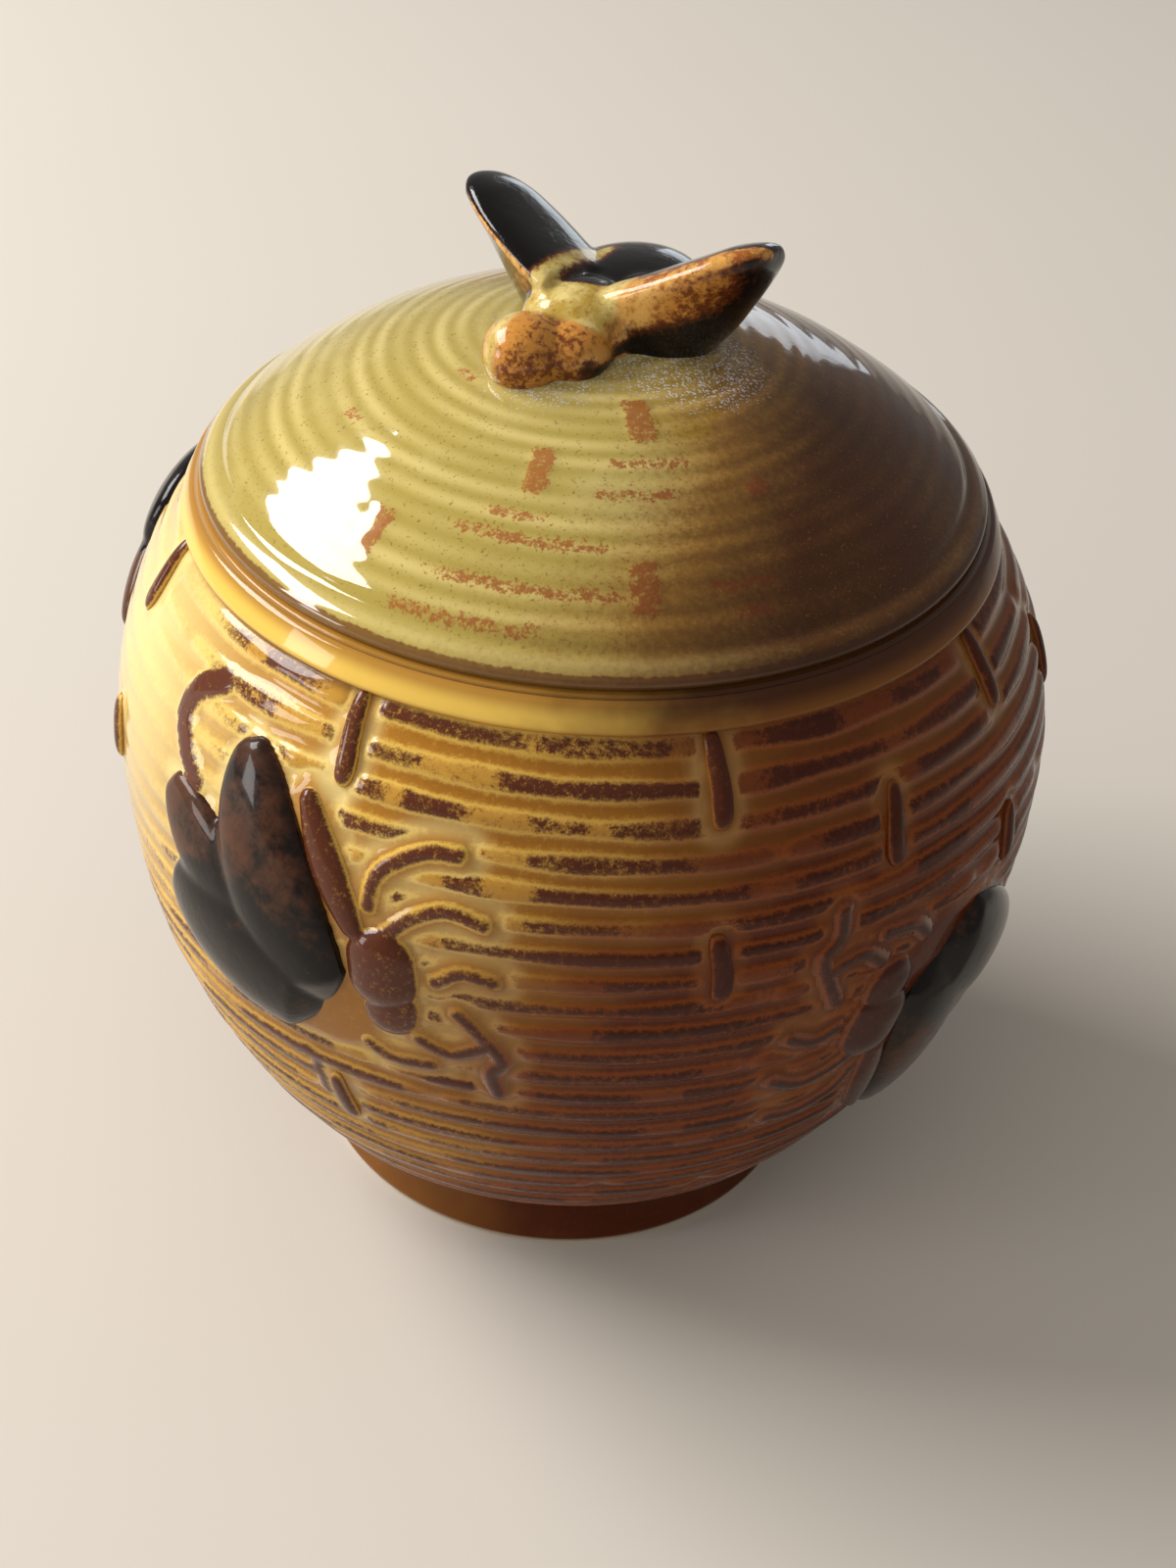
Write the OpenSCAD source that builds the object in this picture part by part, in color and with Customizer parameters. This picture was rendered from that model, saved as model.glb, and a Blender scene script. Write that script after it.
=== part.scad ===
// Glazed stoneware honey pot in the shape of a straw beehive, with a loose domed
// lid and a bee for its knob. The pot is thrown round, its wall carries rows of
// raised coils crossed by short upright stitches, and bees are luted to it.
// The origin is the middle of the foot, on the table. The front faces -Y.

/* [Pot] */
// Widest diameter of the wall, on the clay between the coils
belly_d = 99.4; // [90:0.1:112]
// Height of the widest level
belly_z = 57; // [54:0.5:60]
// Radius of the wall's curve below the widest level
lower_arc = 72; // [68:1:80]
// Diameter of the wall where it meets the collar
neck_d = 83; // [80:0.5:86]
// Thickness of the wall
wall = 5; // [4:0.1:6]
// Diameter of the foot
foot_d = 57; // [54:0.5:62]
// Height of the upright edge of the foot
foot_h = 2.5; // [2:0.5:5]
// Thickness of the floor
floor_t = 6; // [5:0.5:9]
// Width of the ring that the pot stands on
foot_ring = 5; // [4:0.5:8]
// Depth of the hollow inside that ring
foot_hollow = 1.2; // [0.6:0.1:2]

/* [Collar and rim] */
// Height of the rim that the lid rests on
rim_z = 84; // [83:0.5:87]
// Outer diameter of the rim
rim_d = 82; // [79:0.5:85]
// Height of the smooth collar between the coils and the rim
collar_h = 3.8; // [3:0.1:5]
// How far the collar stands out of the wall at its foot
collar_out = 1; // [0.5:0.1:1.5]
// Diameter of the mouth
mouth_d = 70; // [66:0.5:72]
// Depth of the straight throat of the mouth
throat_h = 6; // [5.5:0.5:8]

/* [Coils] */
// Distance from one coil of the wall to the next
coil_pitch = 3.12; // [2.8:0.01:3.6]
// Number of coils on the wall
coil_count = 22; // [16:1:22]
// Width of a coil
coil_w = 1.8; // [1.4:0.1:2.2]
// How far a coil stands out of the wall
coil_rise = 0.5; // [0.3:0.05:0.7]

/* [Stitches] */
// Number of stitches in each row round the pot
stitch_count = 8; // [6:1:9]
// Length of a stitch
stitch_len = 8.4; // [6:0.2:10]
// Width of a stitch
stitch_w = 2.3; // [1.8:0.1:3]
// How far a stitch stands out of the wall
stitch_rise = 0.9; // [0.7:0.05:1.2]

/* [Lid] */
// How far the lid's edge lies inside the rim's edge
lid_inset = 0.8; // [0.4:0.1:1.5]
// Height of the dome over its edge
lid_rise = 16.3; // [14:0.1:19]
// Height of the upright edge of the lid
lid_edge = 1.2; // [0.8:0.1:1.8]
// Thickness of the dome
lid_wall = 4.6; // [4:0.1:6]
// Depth of the flange that keeps the lid in the mouth
flange_h = 4.6; // [3.5:0.1:5]
// Thickness of the flange
flange_t = 3.6; // [3:0.1:5]
// Clearance between the flange and the mouth, all round
flange_fit = 0.8; // [0.5:0.1:1.2]
// Number of fine rings on the dome
ring_count = 10; // [6:1:11]
// Distance from one ring of the dome to the next
ring_pitch = 2.05; // [1.8:0.05:2.2]
// How far a ring stands out of the dome
ring_rise = 0.25; // [0.15:0.05:0.4]

/* [Bee on the lid] */
// Direction that the bee faces
knob_turn = 236; // [200:1:270]
// Radius of its thorax
knob_thorax = 5.2; // [4.6:0.1:5.8]
// Radius of its head
knob_head = 5; // [4.4:0.1:5.6]
// Radius of its abdomen
knob_abdomen = 4.9; // [4.4:0.1:5.4]
// Length of the bee from head to tail
knob_len = 31; // [29:0.5:34]
// Length of a wing from the bee's middle line to the tip
knob_wing_len = 17.5; // [16:0.5:20]
// Width of a wing
knob_wing_w = 12.5; // [10:0.5:13]
// Thickness of a wing at its tip
knob_wing_t = 4.2; // [3.6:0.1:5]
// Depth of a wing under its middle where it grows out of the body
knob_wing_root = 11; // [9:0.5:13]
// Rise of the left wing over its length
knob_wing_rise = 6.2; // [5:0.1:8]
// How much more the right wing rises
knob_wing_more = 2.6; // [0:0.1:3]
// How far a wing is tipped, with its front edge up
knob_wing_tip = 14; // [0:1:25]

/* [Bees on the wall] */
// How far the wings stand out of the wall
wing_relief = 3; // [2.4:0.1:3.4]
// How far the thorax stands out of the wall
body_relief = 2.6; // [2:0.1:3]
// How far the legs stand out of the wall
leg_relief = 1; // [0.8:0.1:1.2]
// Width of a leg
leg_w = 1.5; // [1.2:0.1:2]
// Width of such a bee over its wings and legs
bee_w = 42; // [39:0.5:44]

/* [Hidden] */

$fn = 96;
big = 200;

amber = [0.72, 0.50, 0.16];
olive = [0.56, 0.50, 0.20];
black = [0.10, 0.07, 0.06];
brown = [0.36, 0.19, 0.11];

belly_r = belly_d / 2;
foot_r = foot_d / 2;
rim_r = rim_d / 2;
mouth_r = mouth_d / 2;
groove_z = rim_z - collar_h;
coil_top_z = groove_z - coil_w / 2;
rim_round = wall * 0.16;

// The wall's curve above the widest level: its radius takes it from there to the neck.
neck_in = (belly_d - neck_d) / 2;
neck_up = groove_z - belly_z;
upper_arc = (neck_in * neck_in + neck_up * neck_up) / (2 * neck_in);

// A point of the wall's outline: z is the level on the bare wall, and out is the
// distance along the wall's own normal.
function arc_r(z) = z < belly_z ? lower_arc : upper_arc;
function wall_point(z, out) =
    let (r = arc_r(z), turn = asin((z - belly_z) / r))
    [belly_r - r + (r + out) * cos(turn), belly_z + (r + out) * sin(turn)];
function wall_r(z) = wall_point(z, 0)[0];

// A point in space over the wall, at an angle round the pot.
function on_wall(angle, z, out) =
    let (p = wall_point(z, out))
    [p[0] * cos(angle), p[0] * sin(angle), p[1]];

// Outline of one coil, from its foot below to its foot above.
function coil_points(z) = [
    wall_point(z - coil_w / 2, 0),
    wall_point(z - coil_w / 5, coil_rise),
    wall_point(z + coil_w / 5, coil_rise),
    wall_point(z + coil_w / 2, 0)
];
coil_levels = [for (i = [coil_count - 1 : -1 : 0]) coil_top_z - i * coil_pitch];

// Bare wall between two levels, pushed out by a distance.
wall_steps = 20;
function wall_run(from, to, out) =
    [for (i = [0 : wall_steps]) wall_point(from + (to - from) * i / wall_steps, out)];

function foot_points() = [
    [0, foot_hollow],
    [foot_r - foot_ring - foot_hollow, foot_hollow],
    [foot_r - foot_ring, 0],
    [foot_r - rim_round, 0],
    [foot_r, rim_round],
    [foot_r, foot_h - rim_round]
];

// The collar stands out at its foot, with a quarter round up to the rim's edge.
collar_r = neck_d / 2 + collar_out;
collar_foot = collar_h * 0.18;
function collar_points() = [
    [neck_d / 2, groove_z],
    for (i = [0 : 4]) let (a = 90 * i / 4)
        [rim_r + (collar_r - rim_r) * cos(a),
            groove_z + collar_foot + (collar_h - collar_foot - rim_round * 0.6) * sin(a)],
    [rim_r - rim_round * 0.4, rim_z - rim_round * 0.25],
    [rim_r - rim_round, rim_z],
    [0, rim_z]
];

module pot_outline() {
    polygon(concat(
        foot_points(),
        [for (z = coil_levels) if (z - coil_w / 2 > foot_h * 1.4) each coil_points(z)],
        collar_points()
    ));
}

// The bowl inside: floor, round corner, wall, throat.
bowl_corner = wall * 1.2;
throat_z = rim_z - throat_h;
function bowl_r(z) = wall_point(z, -wall)[0];
module bowl_outline() {
    low = floor_t + bowl_corner;
    steps = 12;
    polygon(concat(
        [[0, floor_t]],
        [for (i = [0 : 4]) let (a = 90 * i / 4)
            [bowl_r(low) - bowl_corner * (1 - sin(a)), low - bowl_corner * cos(a)]],
        [for (i = [1 : steps]) let (z = low + (throat_z - wall * 0.4 - low) * i / steps)
            wall_point(z, -wall)],
        [[mouth_r, throat_z], [mouth_r, rim_z - rim_round], [mouth_r + rim_round, rim_z],
            [mouth_r + rim_round, rim_z + wall], [0, rim_z + wall]]
    ));
}

// What the bees lie on: the wall made smooth, just proud of the ground between the coils.
pad_out = coil_rise * 0.3;
module pad_form() {
    rotate_extrude($fn = 288)
        polygon(concat([[0, foot_h]], wall_run(foot_h, groove_z, pad_out), [[0, groove_z]]));
}

// A prism that stands on the wall: its drawn shape has x round the pot and y up.
// It starts deep, since the wall curves away from its middle.
prism_depth = wall * 3.2;
prism_rise = wall * 2;
module on_wall_prism(angle, z) {
    rotate([0, 0, angle + 90])
        translate([0, prism_depth - belly_r, z])
            rotate([90, 0, 0])
                linear_extrude(height = prism_depth + prism_rise)
                    children();
}

module slot(len, w) {
    square([w, len - w], center = true);
    for (s = [-1, 1]) translate([0, s * (len - w) / 2]) circle(d = w);
}

// Rows of stitches: level of the row's middle as a share of the rim's, and angle of
// its first stitch.
stitch_rows = [[0.912, -73], [0.821, -50.5], [0.702, -73], [0.393, -73]];
stitch_step = 360 / stitch_count;

// Where a point of the wall comes to lie on the sheet that a bee is drawn on.
function wall_on_sheet(place, angle, z) =
    let (
        off = angle - place[0],
        x = (off - 360 * round(off / 360)) * PI / 180 * belly_r,
        y = z - place[1]
    )
    [x * cos(place[2]) + y * sin(place[2]), y * cos(place[2]) - x * sin(place[2])] / bee_scale;

// A stitch is left out where a bee lies over it: the box of the sheet that a bee takes up.
bee_box = [[-28, -17], [15, 21]];
function covered(angle, z) =
    len([for (place = bees)
        let (p = wall_on_sheet(place, angle, z))
        if (p[0] > bee_box[0][0] && p[0] < bee_box[1][0] && p[1] > bee_box[0][1] && p[1] < bee_box[1][1]) 1]) > 0;

module each_stitch() {
    for (row = stitch_rows, i = [0 : stitch_count - 1])
        let (angle = row[1] + i * stitch_step, z = row[0] * rim_z)
        if (!covered(angle, z))
            on_wall_prism(angle, z)
                children();
}

module stitches() {
    top = groove_z + collar_h / 3;
    intersection() {
        rotate_extrude()
            polygon(concat([[0, foot_h]], wall_run(foot_h, top, stitch_rise), [[0, top]]));
        each_stitch() slot(stitch_len, stitch_w);
    }
}

module pot_body() {
    color(amber)
        difference() {
            union() {
                difference() {
                    rotate_extrude() pot_outline();
                    difference() {
                        bee_grounds();
                        pad_form();
                    }
                }
                stitches();
            }
            rotate_extrude() bowl_outline();
        }
}

// The lid is a dome of one radius, with a flange under it.
lid_r = rim_r - lid_inset;
dome_low = rim_z + lid_edge;
dome_r = (lid_r * lid_r + lid_rise * lid_rise) / (2 * lid_rise);
dome_z = dome_low + lid_rise - dome_r;
flange_r = mouth_r - flange_fit;
ring_first = lid_r - ring_pitch * 0.93;
ring_bead = ring_pitch * 0.44;

module dome_form() {
    translate([0, 0, dome_z]) sphere(r = dome_r);
}

module lid_outline() {
    difference() {
        union() {
            intersection() {
                union() {
                    translate([0, dome_z]) circle(r = dome_r);
                    for (i = [0 : ring_count - 1])
                        let (r = ring_first - i * ring_pitch, a = acos(r / dome_r))
                            translate([0, dome_z])
                                rotate(a)
                                    translate([dome_r + ring_rise - ring_bead, 0])
                                        circle(r = ring_bead);
                }
                translate([0, rim_z]) square([lid_r, big]);
            }
            translate([0, rim_z - flange_h]) square([flange_r, flange_h + lid_edge]);
        }
        intersection() {
            translate([0, dome_z]) circle(r = dome_r - lid_wall);
            square([flange_r - flange_t, big]);
        }
        translate([-big, -big]) square([big, 2 * big]);
    }
}

module lid_dome() {
    color(olive) rotate_extrude() lid_outline();
}

// The bee on the lid is drawn in its own frame: x to the head, z up from the top of
// the dome. Its wings are named left and right as seen from the front of the pot.
dome_top = dome_z + dome_r;
head_half = knob_len * 0.18;
thorax_half = knob_len * 0.2;
abdomen_half = knob_len * 0.245;
head_at = [knob_len * 0.335, 0, 0];
thorax_at = [knob_len * 0.077, 0, knob_thorax * 0.17];
abdomen_at = [-knob_len * 0.24, 0, 0];

module in_knob_frame() {
    translate([0, 0, dome_top]) rotate([0, 0, knob_turn]) children();
}

// An egg that lies along x: its radius across, and half its length.
module egg(r, half) {
    rotate([0, 90, 0])
        rotate_extrude()
            polygon([for (i = [0 : 12]) let (a = -90 + 15 * i) [r * cos(a), half * sin(a)]]);
}

module knob_body_form() {
    in_knob_frame() {
        translate(head_at) egg(knob_head, head_half);
        translate(thorax_at) egg(knob_thorax, thorax_half);
        translate(abdomen_at) egg(knob_abdomen, abdomen_half);
    }
}

module knob_bee_body() {
    color(brown)
        difference() {
            knob_body_form();
            dome_form();
        }
}

// A skin over a list of rings, each with the same number of points, closed by fans.
module loft(rings) {
    n = len(rings[0]);
    last = len(rings) - 1;
    points = [for (ring = rings, p = ring) p];
    sides = [for (i = [0 : last - 1], j = [0 : n - 1])
        let (k = (j + 1) % n)
        each [[i * n + j, (i + 1) * n + j, (i + 1) * n + k], [i * n + j, (i + 1) * n + k, i * n + k]]];
    ends = [for (j = [1 : n - 2]) each [[0, j, j + 1], [last * n, last * n + j + 1, last * n + j]]];
    polyhedron(points = points, faces = concat(sides, ends));
}

// Width of a leaf along its length: t runs from 0 at the root to 1 at the tip.
function leaf(t, root, belly) =
    let (s = t < belly ? t / belly : (1 - t) / (1 - belly))
    t < belly ? root + (1 - root) * sin(90 * s) : sqrt(max(0, 1 - (1 - s) * (1 - s)));

// One ring of a wing of the knob, across its run from the body to the tip. A wing
// is deep where it grows out of the body, and thins to its tip.
wing_rings = 14;
wing_sides = 16;
wing_root = knob_wing_len * 0.13;
wing_root_z = knob_wing_t * 0.7;
wing_sweep = knob_wing_len * 0.17;
wing_shift = knob_wing_len * 0.06;
function knob_wing_ring(i, side) =
    let (
        t = i / wing_rings,
        full = leaf(min(t, 0.985), 0.95, 0.34) * min(1, sqrt((t + 0.015) / 0.08)),
        w = knob_wing_w / 2 * full,
        over = knob_wing_t / 2 * full,
        under = (knob_wing_root * sqrt(1 - t) + knob_wing_t / 2) * full,
        x = thorax_at[0] - wing_shift * (2 + side) - wing_sweep * t,
        y = wing_root + (knob_wing_len - wing_root) * t,
        z = wing_root_z + (knob_wing_rise + knob_wing_more * (1 + side) / 2) * pow(t, 1.1)
    )
    [for (j = [0 : wing_sides - 1])
        let (a = side * 360 * j / wing_sides, across = w * cos(a), lift = side * sin(a))
        [
            x + across * cos(knob_wing_tip),
            side * (y + 0.1 * across),
            z + across * sin(knob_wing_tip) + (lift > 0 ? over : under) * lift
        ]];

module knob_wing(side) {
    color(black)
        difference() {
            in_knob_frame() loft([for (i = [0 : wing_rings]) knob_wing_ring(i, side)]);
            knob_body_form();
            dome_form();
        }
}

module knob_wing_left() knob_wing(-1);
module knob_wing_right() knob_wing(1);

// The bees on the wall are drawn on a flat sheet in millimetres, x to the right
// and y up, round the middle of the thorax, then laid on the wall at a turn.
function turned(p, turn) = bee_scale *
    [p[0] * cos(turn) - p[1] * sin(turn), p[0] * sin(turn) + p[1] * cos(turn)];
function sheet_on_wall(place, p, out) =
    let (q = turned(p, place[2]), z = place[1] + q[1])
    on_wall(place[0] + q[0] / belly_r * 180 / PI, z, out);

// A raised leaf between two points of the sheet: width, relief and fullness of the root.
relief_sides = 8;
wing_steps = 10;
leg_steps = 5;
relief_sink = wing_relief * 0.13;
relief_root = wing_relief * 0.4;
function relief_ring(place, from, to, w, rise, root, t) =
    let (
        run = to - from,
        across = [-run[1], run[0]] / norm(run),
        c = from + run * t,
        full = leaf(min(max(t, 0.01), 0.985), root, 0.42),
        half = w / 2 * full,
        up = rise * (0.35 + 0.65 * full)
    )
    concat(
        [for (j = [0 : relief_sides])
            let (a = 180 * j / relief_sides)
            sheet_on_wall(place, c + across * half * cos(a), up * sin(a) - relief_sink)],
        [sheet_on_wall(place, c - across * half, -relief_root),
            sheet_on_wall(place, c + across * half, -relief_root)]
    );

module relief_leaf(place, from, to, w, rise, root, steps = wing_steps) {
    loft([for (i = [0 : steps]) relief_ring(place, from, to, w, rise, root, i / steps)]);
}

// The drawn bee. Lobes of a wing: from, to, width, fullness of the root.
drawn_w = 42;
bee_scale = bee_w / drawn_w;
bee_wings = [
    [[-6.5, -5.2], [-27.6, -0.6], 13.6, 0.75],
    [[-7.2, -6.2], [-18.4, 19.2], 11.2, 0.75],
    [[-9.6, -4], [-28.8, 10.2], 9.6, 0.6]
];
bee_abdomen = [[-3.6, 5.8], [-9.6, 16.6], 3.2, 0.75];
bee_thorax = [[0.1, 6.6], [0.1, -5.6], 6, 0.7];
bee_legs = [
    [[-1.4, 9.4], [0.4, 13.6]], [[0.4, 13.6], [7, 15.6]],
    [[1.4, 7], [4.8, 9.9]], [[4.8, 9.9], [9.8, 9.5]],
    [[7.4, -1.4], [12, -7]], [[12, -7], [11.4, -12.2]],
    [[3.8, -6.2], [10.2, -5.8]],
    [[-1.8, -8.8], [4.8, -9.8]],
    [[7.2, 5], [11, 5.6]]
];

// Angle round the pot, level of the thorax and turn of each bee.
left_bee = [-110, rim_z * 0.643, 0];
right_bee = [-50, rim_z * 0.56, 162];
rear_bee = [144, rim_z * 0.714, 203];
far_bee = [60, rim_z * 0.667, 20];
bees = [left_bee, right_bee, rear_bee, far_bee];

// Ground that is kept free of coils under and round a bee, on the same sheet.
bee_ground_edge = [
    [-5, -12], [-16, -12.2], [-24, -9.2], [-29.4, -1.4], [-30.8, 8.8], [-29.4, 12.2], [-24.2, 13.2], [-22.6, 19.2],
    [-19.4, 20.7], [-10, 18.6], [-6.6, 17], [8.6, 17.2], [11.2, 11.6], [13.4, 6.4], [13.8, -6], [13.4, -13.6],
    [9.6, -13.8], [5.8, -11.4], [-2.4, -10.8]
];
module bee_ground(place) {
    on_wall_prism(place[0], place[1]) rotate(place[2]) scale(bee_scale) polygon(bee_ground_edge);
}

module bee_grounds() {
    for (place = bees) bee_ground(place);
}

module bee_wings(place) {
    color(black)
        difference() {
            for (w = bee_wings) relief_leaf(place, w[0], w[1], w[2], wing_relief, w[3]);
            pad_form();
        }
}

module bee_body(place) {
    color(brown)
        difference() {
            union() {
                relief_leaf(place, bee_thorax[0], bee_thorax[1], bee_thorax[2], body_relief, bee_thorax[3]);
                relief_leaf(place, bee_abdomen[0], bee_abdomen[1], bee_abdomen[2], body_relief * 0.8,
                    bee_abdomen[3]);
                for (l = bee_legs) relief_leaf(place, l[0], l[1], leg_w, leg_relief, 0.8, leg_steps);
            }
            pad_form();
        }
}

module left_bee_wings() bee_wings(left_bee);
module left_bee_body() bee_body(left_bee);
module right_bee_wings() bee_wings(right_bee);
module right_bee_body() bee_body(right_bee);
module rear_bee_wings() bee_wings(rear_bee);
module rear_bee_body() bee_body(rear_bee);
module far_bee_wings() bee_wings(far_bee);
module far_bee_body() bee_body(far_bee);

pot_body();
lid_dome();
knob_bee_body();
knob_wing_left();
knob_wing_right();
left_bee_wings();
left_bee_body();
right_bee_wings();
right_bee_body();
rear_bee_wings();
rear_bee_body();
far_bee_wings();
far_bee_body();
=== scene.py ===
# Looks of the beehive honey pot: glazed wall with raised coils and stitches, domed lid,
# the bee that is its knob, and the bees luted to the wall.
from math import cos, degrees, pi, radians, sin

import bmesh
import bpy
import numpy as np
from mathutils import Matrix, Vector


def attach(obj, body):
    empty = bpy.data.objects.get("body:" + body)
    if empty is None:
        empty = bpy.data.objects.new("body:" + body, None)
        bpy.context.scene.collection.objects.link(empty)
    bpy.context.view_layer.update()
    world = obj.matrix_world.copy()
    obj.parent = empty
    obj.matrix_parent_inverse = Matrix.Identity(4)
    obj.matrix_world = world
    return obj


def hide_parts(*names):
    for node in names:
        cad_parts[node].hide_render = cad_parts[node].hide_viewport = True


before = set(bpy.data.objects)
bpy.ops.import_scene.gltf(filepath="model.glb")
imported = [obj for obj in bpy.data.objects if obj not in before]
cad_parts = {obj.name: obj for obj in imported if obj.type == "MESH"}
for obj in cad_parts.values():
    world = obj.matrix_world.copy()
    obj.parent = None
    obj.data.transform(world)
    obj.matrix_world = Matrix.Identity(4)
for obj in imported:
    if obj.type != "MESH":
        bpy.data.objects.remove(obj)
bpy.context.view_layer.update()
MM = 0.001

# Sizes, in millimetres

BELLY_R, BELLY_Z = 49.7, 57.0
LOWER_ARC, UPPER_ARC = 72.0, 36.92
FOOT_R, FOOT_RING, FOOT_HOLLOW = 28.5, 5.0, 1.2
WALL, FLOOR_T = 5.0, 6.0
RIM_Z, RIM_R, MOUTH_R, THROAT_H = 84.0, 41.0, 35.0, 6.0
GROOVE_Z, COLLAR_OUT = 80.2, 1.0
COIL_TOP_Z, COIL_PITCH, COIL_COUNT, COIL_RISE = 79.3, 3.12, 22, 0.5
BOWL_CORNER = 6
POT_COLUMNS, WALL_ROWS, WALL_LOW = 400, 210, 4.2
# Levels between which the wall's curve is read for what lies on it.
CURVE_LOW, CURVE_HIGH = 3, 81

# The side towards the lamps, where the glaze is lightest: away from it the glaze darkens, in part its own
# colour and in part painted shade. Spots where coils fade and where glaze pools pale, the pale one in part
# painted light: angle, level.
LIGHT_SIDE = -150
FAINT_SPOT, PALE_LIT_SPOT = (-162, 67), (-164, 66)

LID_R, LID_LOW, LID_RISE, LID_WALL = 40.2, 85.2, 16.3, 4.6
FLANGE_R, FLANGE_H, FLANGE_T = 34.2, 4.6, 3.6
DOME_R = (LID_R ** 2 + LID_RISE ** 2) / (2 * LID_RISE)
DOME_Z = LID_LOW + LID_RISE - DOME_R
DOME_TOP = DOME_Z + DOME_R
RING_FIRST, RING_PITCH = 36.4, 2.05
KNOB_TURN = radians(236)
LID_COLUMNS, LID_ROWS = 360, 170

# Stitches of the wall: level and angle of the first of each row.
STITCH_LEN, STITCH_W, STITCH_RISE = 8.4, 2.3, 0.9
STITCH_ROWS = [(76.61, -73), (68.96, -50.5), (58.97, -73), (33.01, -73)]
STITCH_COUNT = 8

# The bee of the wall on a flat sheet, x to the right and y up, round its thorax:
# from, to, width, fullness of the root, relief.
BEE_WINGS = [
    ((-6.3, -5.4), (-27.6, -0.6), 14.6, 0.75, 2.75),
    ((-7.2, -6.2), (-18.4, 19.2), 12.2, 0.75, 2.6),
    ((-9.6, -4.0), (-28.8, 10.2), 10.8, 0.6, 2.1),
]
# The bar beside the wings and the lumps of the body: from, to, width.
BEE_BAR = ((-3.3, 5.8), (-9.6, 16.4), 4.4)
BEE_BODY = [((-0.2, 2.8), (0.0, 0.6), 7.2), ((1.0, -2.6), (0.8, -3.6), 5.6)]
# Points that each leg bends through.
BEE_LEGS = [
    [(-1.7, 8.6), (-1.3, 11.6), (0.6, 13.7), (3.6, 15.3), (6.6, 15.6)],
    [(0.4, 6.2), (2.8, 8.6), (6.0, 10.1), (9.6, 9.4)],
    [(7.6, -1.6), (9.6, -3.8), (11.8, -7.0), (10.9, -9.4), (11.5, -12.2)],
    [(3.8, -6.2), (7.0, -7.3), (10.3, -5.5)],
    [(-1.8, -8.8), (0.7, -10.0), (4.8, -9.6)],
    [(5.4, 2.0), (7.8, 3.6), (10.8, 3.2)],
]
LEG_W, LEG_RELIEF, BODY_RELIEF, BAR_RELIEF = 2.7, 1.0, 2.2, 1.5
THORAX_W = BEE_BODY[0][2]
# Corners of the sheet that a bee covers, and a circle round it: middle, radius.
BEE_BOX = ((-28, -17), (15, 21))
BEE_MIDDLE, BEE_REACH = (-8, 2), 36
# Places of the bees: angle round the pot, level of the thorax, turn.
BEES = {
    "left": (-110, 54.01, 0),
    "right": (-50, 47.04, 162),
    "rear": (144, 59.98, 203),
    "far": (60, 56.03, 20),
}
# Loose marks on the wall beside the left bee: angle and level along each, and half its width.
WALL_MARKS = [
    ([(-139, 75.5), (-142.5, 73.6), (-143.6, 70.8), (-141.6, 68.0), (-138.8, 65.6)], 1.4),
    ([(-124, 38.1), (-121.2, 39), (-120.7, 32.5)], 0.8),
]

# The wall's own curve


def wall_point(z, out=0.0):
    """Radius and level of a point over the wall; z is the level on the bare wall."""
    z = np.asarray(z, float)
    arc = np.where(z < BELLY_Z, LOWER_ARC, UPPER_ARC)
    turn = np.arcsin(np.clip((z - BELLY_Z) / arc, -1, 1))
    return BELLY_R - arc + (arc + out) * np.cos(turn), BELLY_Z + (arc + out) * np.sin(turn)


def above_wall(r, level):
    """How far points stand out from the bare wall."""
    return r - wall_point(np.clip(level, CURVE_LOW, CURVE_HIGH))[0]


def lay_on_wall(place, x, y, out):
    """Points of a bee's sheet, laid on the wall: an array of x, y, z."""
    angle, level, turn = place
    t = radians(turn)
    a = np.radians(angle) + (x * cos(t) - y * sin(t)) / BELLY_R
    r, z = wall_point(level + x * sin(t) + y * cos(t), out)
    return np.stack([r * np.cos(a), r * np.sin(a), z], axis=-1)


def turned_by(angle, middle):
    """Angles in degrees, measured from a middle one, from -180 to 180."""
    return (angle - middle + 540) % 360 - 180


def to_sheet(place, angle, level):
    """Where points of the wall come to lie on a bee's sheet."""
    x, y = turned_by(angle, place[0]) * pi / 180 * BELLY_R, level - place[1]
    t = radians(place[2])
    return x * cos(t) + y * sin(t), y * cos(t) - x * sin(t)


def all_stitches():
    """Angle and level of each stitch that no bee lies over."""
    free = []
    for level, first in STITCH_ROWS:
        for i in range(STITCH_COUNT):
            angle = first + i * 360 / STITCH_COUNT
            sheets = [to_sheet(place, angle, level) for place in BEES.values()]
            (x0, y0), (x1, y1) = BEE_BOX
            if not any(x0 < x < x1 and y0 < y < y1 for x, y in sheets):
                free.append((angle, level))
    return free


def smooth(a, b, x):
    """A soft step from 0 at a to 1 at b; a may be the larger."""
    t = np.clip((x - a) / (b - a), 0, 1)
    return t * t * (3 - 2 * t)


def bell(x, middle, width):
    """1 at the middle, falling off to both sides."""
    return np.exp(-((x - middle) / width) ** 2)


def to_segment(x, y, start, end):
    """Distance of points to a segment, and the share along it."""
    dx, dy = end[0] - start[0], end[1] - start[1]
    t = np.clip(((x - start[0]) * dx + (y - start[1]) * dy) / (dx * dx + dy * dy), 0, 1)
    return np.hypot(x - start[0] - t * dx, y - start[1] - t * dy), t


def bent(path, steps=5):
    """A line of several segments, bent smoothly through its own points."""
    p = np.array([path[0]] + list(path) + [path[-1]], float)
    line = []
    for a, b, c, d in zip(p, p[1:], p[2:], p[3:]):
        slope = c - a
        curve = a - 2.5 * b + 2 * c - 0.5 * d
        twist = 3 * b - a - 3 * c + d
        for t in np.arange(steps) / steps:
            line.append(b + 0.5 * t * slope + t * t * curve + 0.5 * t ** 3 * twist)
    return line + [p[-1]]


def to_path(x, y, path):
    """Distance of points to a line bent through several points."""
    line = bent(path)
    return np.min([to_segment(x, y, a, b)[0] for a, b in zip(line, line[1:])], axis=0)


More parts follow.
